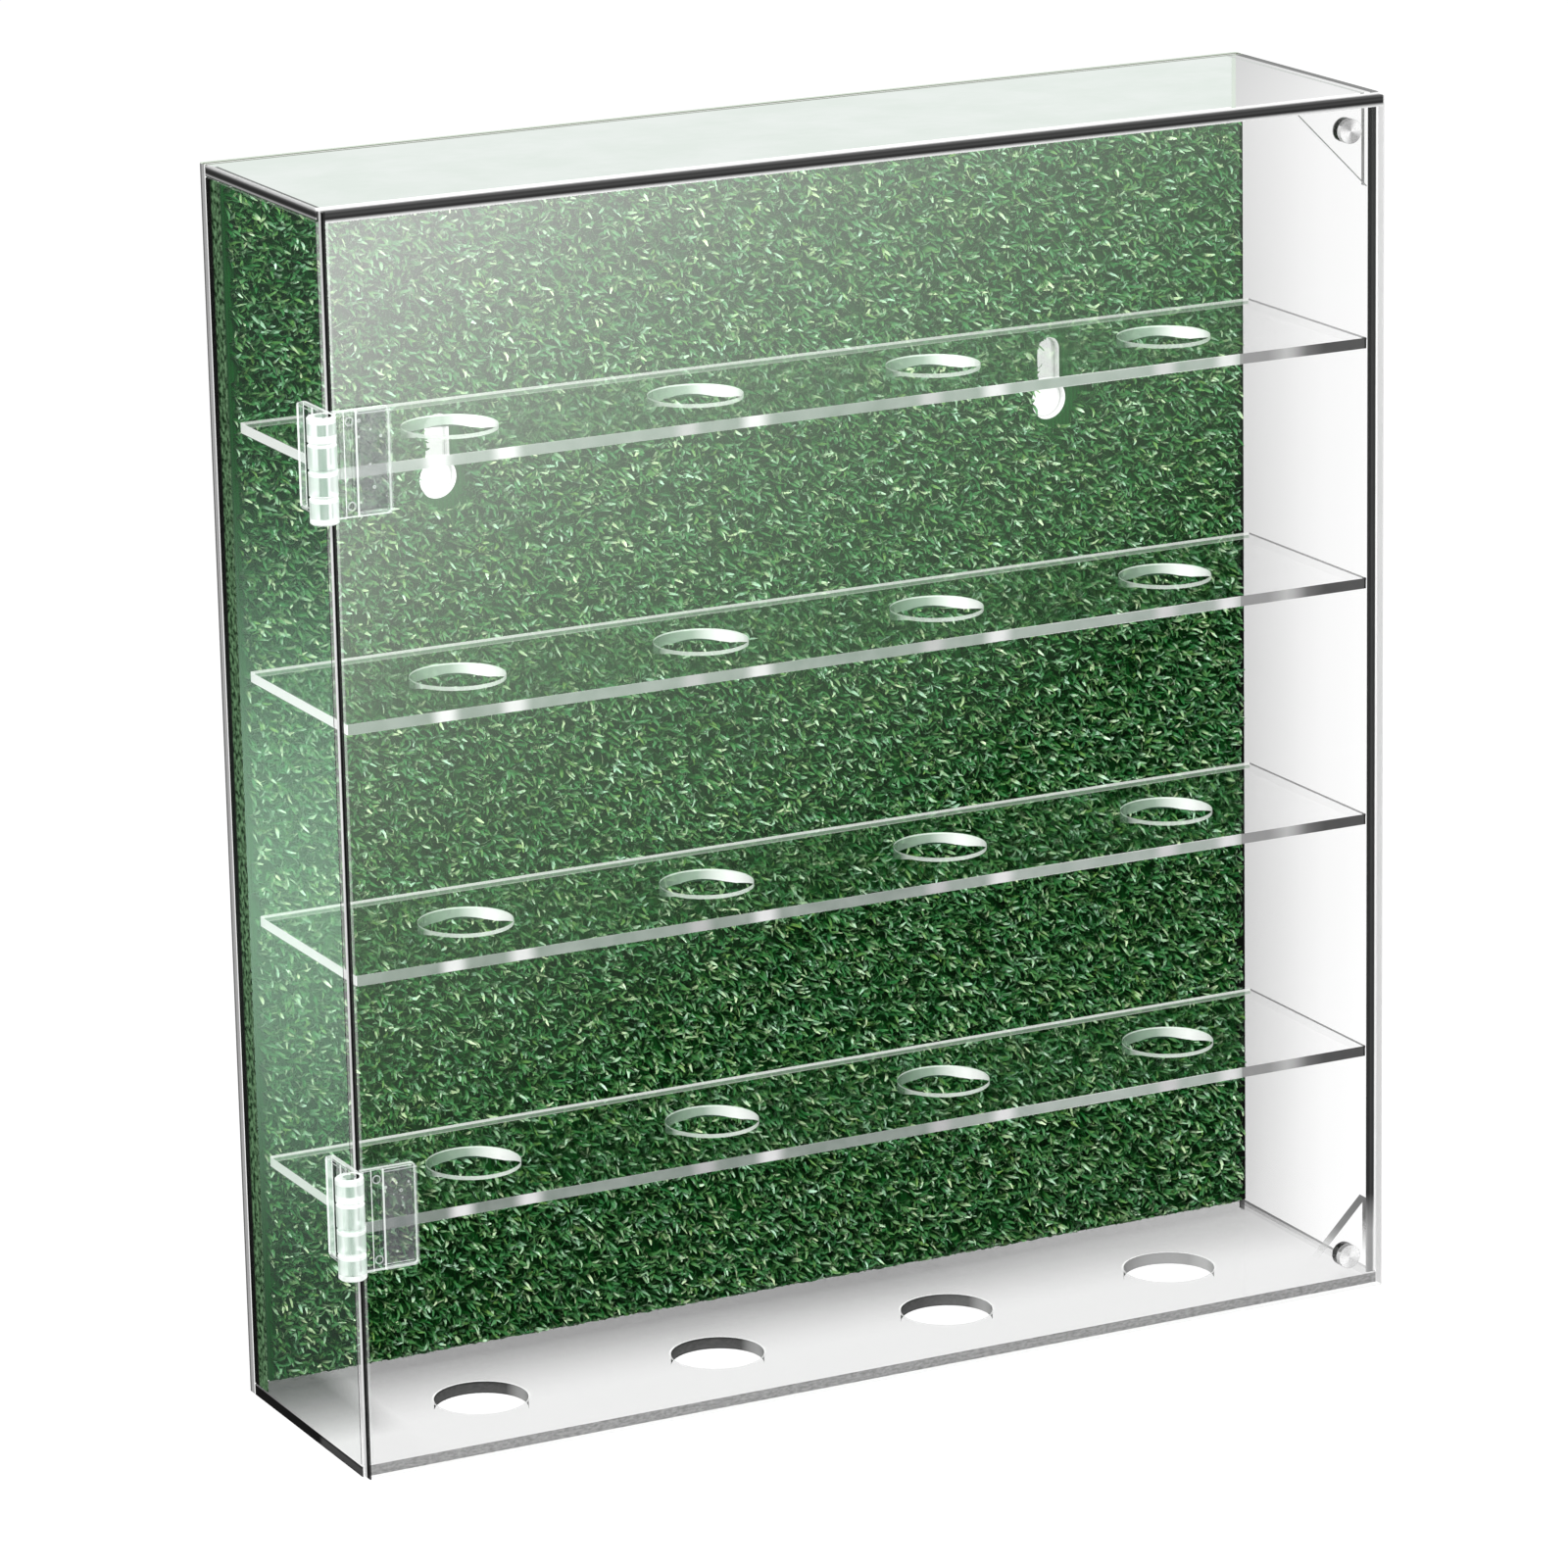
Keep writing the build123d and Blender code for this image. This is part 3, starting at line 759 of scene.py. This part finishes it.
def blade_tracks(rng, low, high):
    """Centrelines (step, blade, xyz) inside the pile's room, with each blade's
    width and roll. Blades stand up from the backing, lean and curl over."""
    x, z = blade_roots(rng, low, high)
    count = x.size
    heading = rng.uniform(0, 2 * math.pi, count)
    curl = rng.normal(0, 1.1, count)
    root_lean = rng.uniform(0.0, 0.45, count)
    tip_lean = rng.uniform(0.5, 1.65, count)
    length = rng.uniform(3.6, 5.8, count)
    width = rng.uniform(0.55, 0.88, count)
    roll = rng.normal(0, 0.7, count)
    root_y = high[1] - rng.uniform(0.0, 0.5, count)
    pos = np.stack([x, root_y, z], 1)
    track = [pos]
    for i in range(TRACK_STEPS):
        t = (i + 0.5) / TRACK_STEPS
        lean = root_lean + (tip_lean - root_lean) * t ** 2.2
        head = heading + curl * t
        side = np.sin(lean)
        step = np.stack([side * np.cos(head), -np.cos(lean), side * np.sin(head)], 1)
        pos = pos + step * (length / TRACK_STEPS)[:, None]
        track.append(pos)
    track = np.array(track)
    # no blade reaches past the pile's face
    depth = high[1] - low[1] - 0.35
    rise = np.maximum(root_y - track[:, :, 1].min(0), 1e-6)
    track[:, :, 1] = root_y + (track[:, :, 1] - root_y) * np.minimum(1.0, depth / rise)
    # near the floor the pile thins, so its foot stays by the backing
    room = depth * ((track[:, :, 2] - low[2]) / 2.6).clip(0.1, 1.0)
    track[:, :, 1] = np.maximum(track[:, :, 1], high[1] - room)
    for axis in (0, 2):
        track[:, :, axis] = np.clip(track[:, :, axis], low[axis] + 0.45, high[axis] - 0.45)
    return track, width, roll


def unit(vectors):
    length = np.linalg.norm(vectors, axis=2, keepdims=True)
    return vectors / np.maximum(length, 1e-9)


def blade_points(rng, centre, width, roll):
    """Points (blade, row, 3, xyz) of creased, twisted strips along the rows' centres."""
    rows = len(ROW_STEPS)
    tangent = unit(np.gradient(centre, axis=1))
    up = np.zeros_like(tangent)
    up[:, :, 1] = -1
    up[:, :, 0] += 0.001  # so that no blade is parallel to it
    across = unit(np.cross(tangent, up))
    facing = np.cross(across, tangent)
    twist = np.linspace(0, 1, rows)[None, :, None] * rng.normal(0, 0.6, len(centre))[:, None, None]
    turn = roll[:, None, None] + twist
    side = across * np.cos(turn) + facing * np.sin(turn)
    out = np.cross(side, tangent)
    half = (width[:, None] / 2 * ROW_WIDTHS[None, :])[:, :, None]
    strip = [centre - side * half, centre - out * (FOLD * half), centre + side * half]
    return np.stack(strip, axis=2)


def blade_mesh(name, points, tone, hue):
    """One mesh of many blades, each with its tone, hue and place along it."""
    rows = len(ROW_STEPS)
    per = rows * ROW_POINTS
    start = np.arange(len(points))[:, None] * per
    corners = [r * ROW_POINTS + c for r in range(rows - 1) for c in range(ROW_POINTS - 1)]
    quads = [start + np.array([i, i + 1, i + 1 + ROW_POINTS, i + ROW_POINTS]) for i in corners]
    faces = np.stack(quads, 1).reshape(-1, 4)
    verts = points.reshape(-1, 3) * MM
    mesh = bpy.data.meshes.new(name)
    mesh.vertices.add(len(verts))
    mesh.vertices.foreach_set("co", verts.astype(np.float32).ravel())
    mesh.loops.add(faces.size)
    mesh.loops.foreach_set("vertex_index", faces.astype(np.int32).ravel())
    mesh.polygons.add(len(faces))
    mesh.polygons.foreach_set("loop_start", np.arange(0, faces.size, 4, dtype=np.int32))
    mesh.polygons.foreach_set("use_smooth", np.ones(len(faces), bool))
    mesh.update(calc_edges=True)
    data = np.zeros((len(points), per, 3), np.float32)
    data[:, :, 0] = tone[:, None]
    data[:, :, 1] = hue[:, None]
    data[:, :, 2] = np.repeat(ROW_STEPS / TRACK_STEPS, ROW_POINTS)[None, :]
    mesh.attributes.new("blade", "FLOAT_VECTOR", "POINT").data.foreach_set("vector", data.ravel())
    return mesh


def turf(seed=7):
    """Replaces the pile's slab with blades, in tiles that together fill its room."""
    rng = np.random.default_rng(seed)
    low, high = (np.array(c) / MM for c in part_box("turf_pile"))
    track, width, roll = blade_tracks(rng, low, high)
    keep = np.ones(width.size, bool)
    for row in track:
        keep &= keyhole_clear(row[:, 0], row[:, 2])
    centre = track[ROW_STEPS].transpose(1, 0, 2)[keep]
    points = blade_points(rng, centre, width[keep], roll[keep])
    points = np.clip(points, low + 0.02, high - 0.02)
    tone = rng.beta(1.4, 1.8, len(centre))
    hue = rng.uniform(0, 1, len(centre))
    # which tile each blade stands in, row by row from the lower left
    share = (centre[:, 0] - low) / (high - low)
    column = (share[:, 0] * TILES_ACROSS).astype(int).clip(0, TILES_ACROSS - 1)
    line = (share[:, 2] * TILES_UP).astype(int).clip(0, TILES_UP - 1)
    tile = line * TILES_ACROSS + column
    material = turf_material()
    for k in range(TILES_ACROSS * TILES_UP):
        here = tile == k
        mesh = blade_mesh(f"turf_{k}", points[here], tone[here], hue[here])
        mesh.materials.append(material)
        obj = bpy.data.objects.new(f"turf_blades_{k + 1}", mesh)
        scene.collection.objects.link(obj)
        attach(obj, "case")
        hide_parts("turf_pile")


# ---------------------------------------------------------------- stage, light, camera
def floor_material():
    """White where it is seen, and gray to the light that falls on it."""
    s = Shader("floor")
    white = s.node("Emission", {"Color": WHITE, "Strength": 1.23})
    lit = s.node("BsdfDiffuse", {"Color": (0.5, 0.5, 0.5)})
    return s.finish(s.blend(s.mul(s.backdrop_rays(), 0.8), lit, white))


def lay_floor():
    place = (0, 0, -0.0004)
    bpy.ops.mesh.primitive_circle_add(vertices=96, radius=6, fill_type="NGON", location=place)
    floor = bpy.context.object
    floor.name = "floor"
    floor.data.materials.append(floor_material())
    floor.visible_glossy = False


def world():
    """White behind the object and even light on it. Mirror-like faces also see a
    wide soft light in front, dark under it, and a low band behind on the left."""
    w = Shader("world", world=True)
    x, y, z = w.split(w.node("TexCoord", out="Generated"))
    # how far a direction lies into the soft light, whose edge slants
    ahead = w.math("MAXIMUM", w.math("MULTIPLY", y, -1.0), 0.05)
    a = w.math("DIVIDE", x, ahead)
    b = w.math("DIVIDE", z, ahead)
    into = w.math("MULTIPLY_ADD", a, -2.5078, 2.6274)
    into = w.math("MULTIPLY_ADD", b, 4.1376, into)
    into = w.math("MINIMUM", w.math("MAXIMUM", into, 0.0), 0.68)
    glow = w.math("MULTIPLY", w.math("POWER", into, 2.0), 6.65)
    glow = w.add(glow, w.ramp(into, 0.0, 0.15, 0.0, 0.286))
    in_front = w.under(y, -0.3)
    inside = w.mul(in_front, w.at(a, 0.3, 0.8), w.at(b, -0.5, -0.2060))
    glow = w.mul(glow, inside)
    # the low band
    tilt = w.math("DIVIDE", z, w.reach(x, y))
    off = w.size(w.sub(tilt, -0.285))
    band = w.ramp(off, 0.07, 0.0, 0.5, 4.3, smooth=True)
    behind = w.mul(w.under(x, -0.1), w.over(y, 0.2))
    level = w.level(behind, 1.0, band)
    # the dark
    low_front = w.mul(in_front, w.ramp(z, 0.22, 0.02, smooth=True))
    level = w.add(w.level(low_front, level, 0.02), glow)
    # all of it for mirror-like faces alone
    camera_ray = w.node("LightPath", out="Is Camera Ray")
    sharp = w.node("LightPath", out="Is Singular Ray")
    level = w.level(camera_ray, w.level(sharp, 1.0, level), 1.0)
    haze = w.mix(w.ramp(into, 0.0, 0.64), (0.55, 1.0, 0.56), (0.97, 1.0, 0.965))
    hue = w.mix(w.mul(sharp, w.inv(camera_ray)), WHITE, w.mix(inside, WHITE, haze))
    shown = w.node("Background", {"Color": hue, "Strength": level})
    fill = w.node("Background", {"Color": WHITE, "Strength": 0.25})
    return w.finish(w.blend(w.backdrop_rays(), fill, shown))


def lamp(name, place, target, size, power, diffuse=1.0):
    """A round lamp at place, turned to target. Both are in metres."""
    data = bpy.data.lights.new(name, "AREA")
    data.shape = "DISK"
    data.size = size
    data.energy = power
    data.diffuse_factor = diffuse
    obj = bpy.data.objects.new(name, data)
    obj.location = place
    obj.rotation_mode = "QUATERNION"
    aim = Vector(np.array(target) - np.array(place))
    obj.rotation_quaternion = aim.to_track_quat("-Z", "Y")
    obj.visible_camera = False
    scene.collection.objects.link(obj)


def camera():
    data = bpy.data.cameras.new("camera")
    data.sensor_width = SENSOR
    data.lens = FOCAL_PIXELS / PICTURE_PIXELS * SENSOR
    data.clip_end = 50
    obj = bpy.data.objects.new("camera", data)
    yaw, pitch, roll = (math.radians(v) for v in CAMERA_TURN)
    turn = Matrix.Rotation(yaw, 4, "Z") @ Matrix.Rotation(math.pi / 2 + pitch, 4, "X")
    obj.matrix_world = Matrix.Translation(CAMERA_PLACE) @ turn @ Matrix.Rotation(roll, 4, "Z")
    scene.collection.objects.link(obj)
    return obj


# ---------------------------------------------------------------- the scene
dress(["top_panel"], top_acrylic())
dress(["back_panel"], back_acrylic())
dress(["left_wall"], left_acrylic())
dress(["right_wall"], right_acrylic())
dress(["bottom_panel"], bottom_acrylic())
dress(["door_panel"], door_acrylic())
for i, (front_tones, left_tone) in enumerate(SHELVES, 1):
    dress([f"shelf_{i}"], shelf_acrylic(i, front_tones, left_tone))
for which in CATCHES:
    dress([f"catch_{which}_gusset"], gusset_acrylic(which))
    dress([f"catch_{which}_magnet", f"catch_{which}_door_disc"], magnet_plate(which))
for which in HINGES:
    leaves = [f"hinge_{which}_case_leaf", f"hinge_{which}_door_leaf"]
    dress(leaves, hinge_plastic(which))
    dress([f"hinge_{which}_pin"], pin_steel(which))
dress([n for n in nodes if n.endswith("_pad")], adhesive())
turf()
dress(["turf_backing"], backing_material())

lay_floor()
scene.world = world()
lamp("key", (-1.0, -1.7, 1.9), (0, 0, 0.15), 0.6, 75)
lamp("sheen", (-0.12, -0.42, 0.58), (-0.03, 0.03, 0.27), 0.25, 1.6, diffuse=0.0)
scene.camera = camera()
scene.view_settings.view_transform = "Standard"
scene.cycles.transparent_max_bounces = 48
scene.cycles.max_bounces = 16
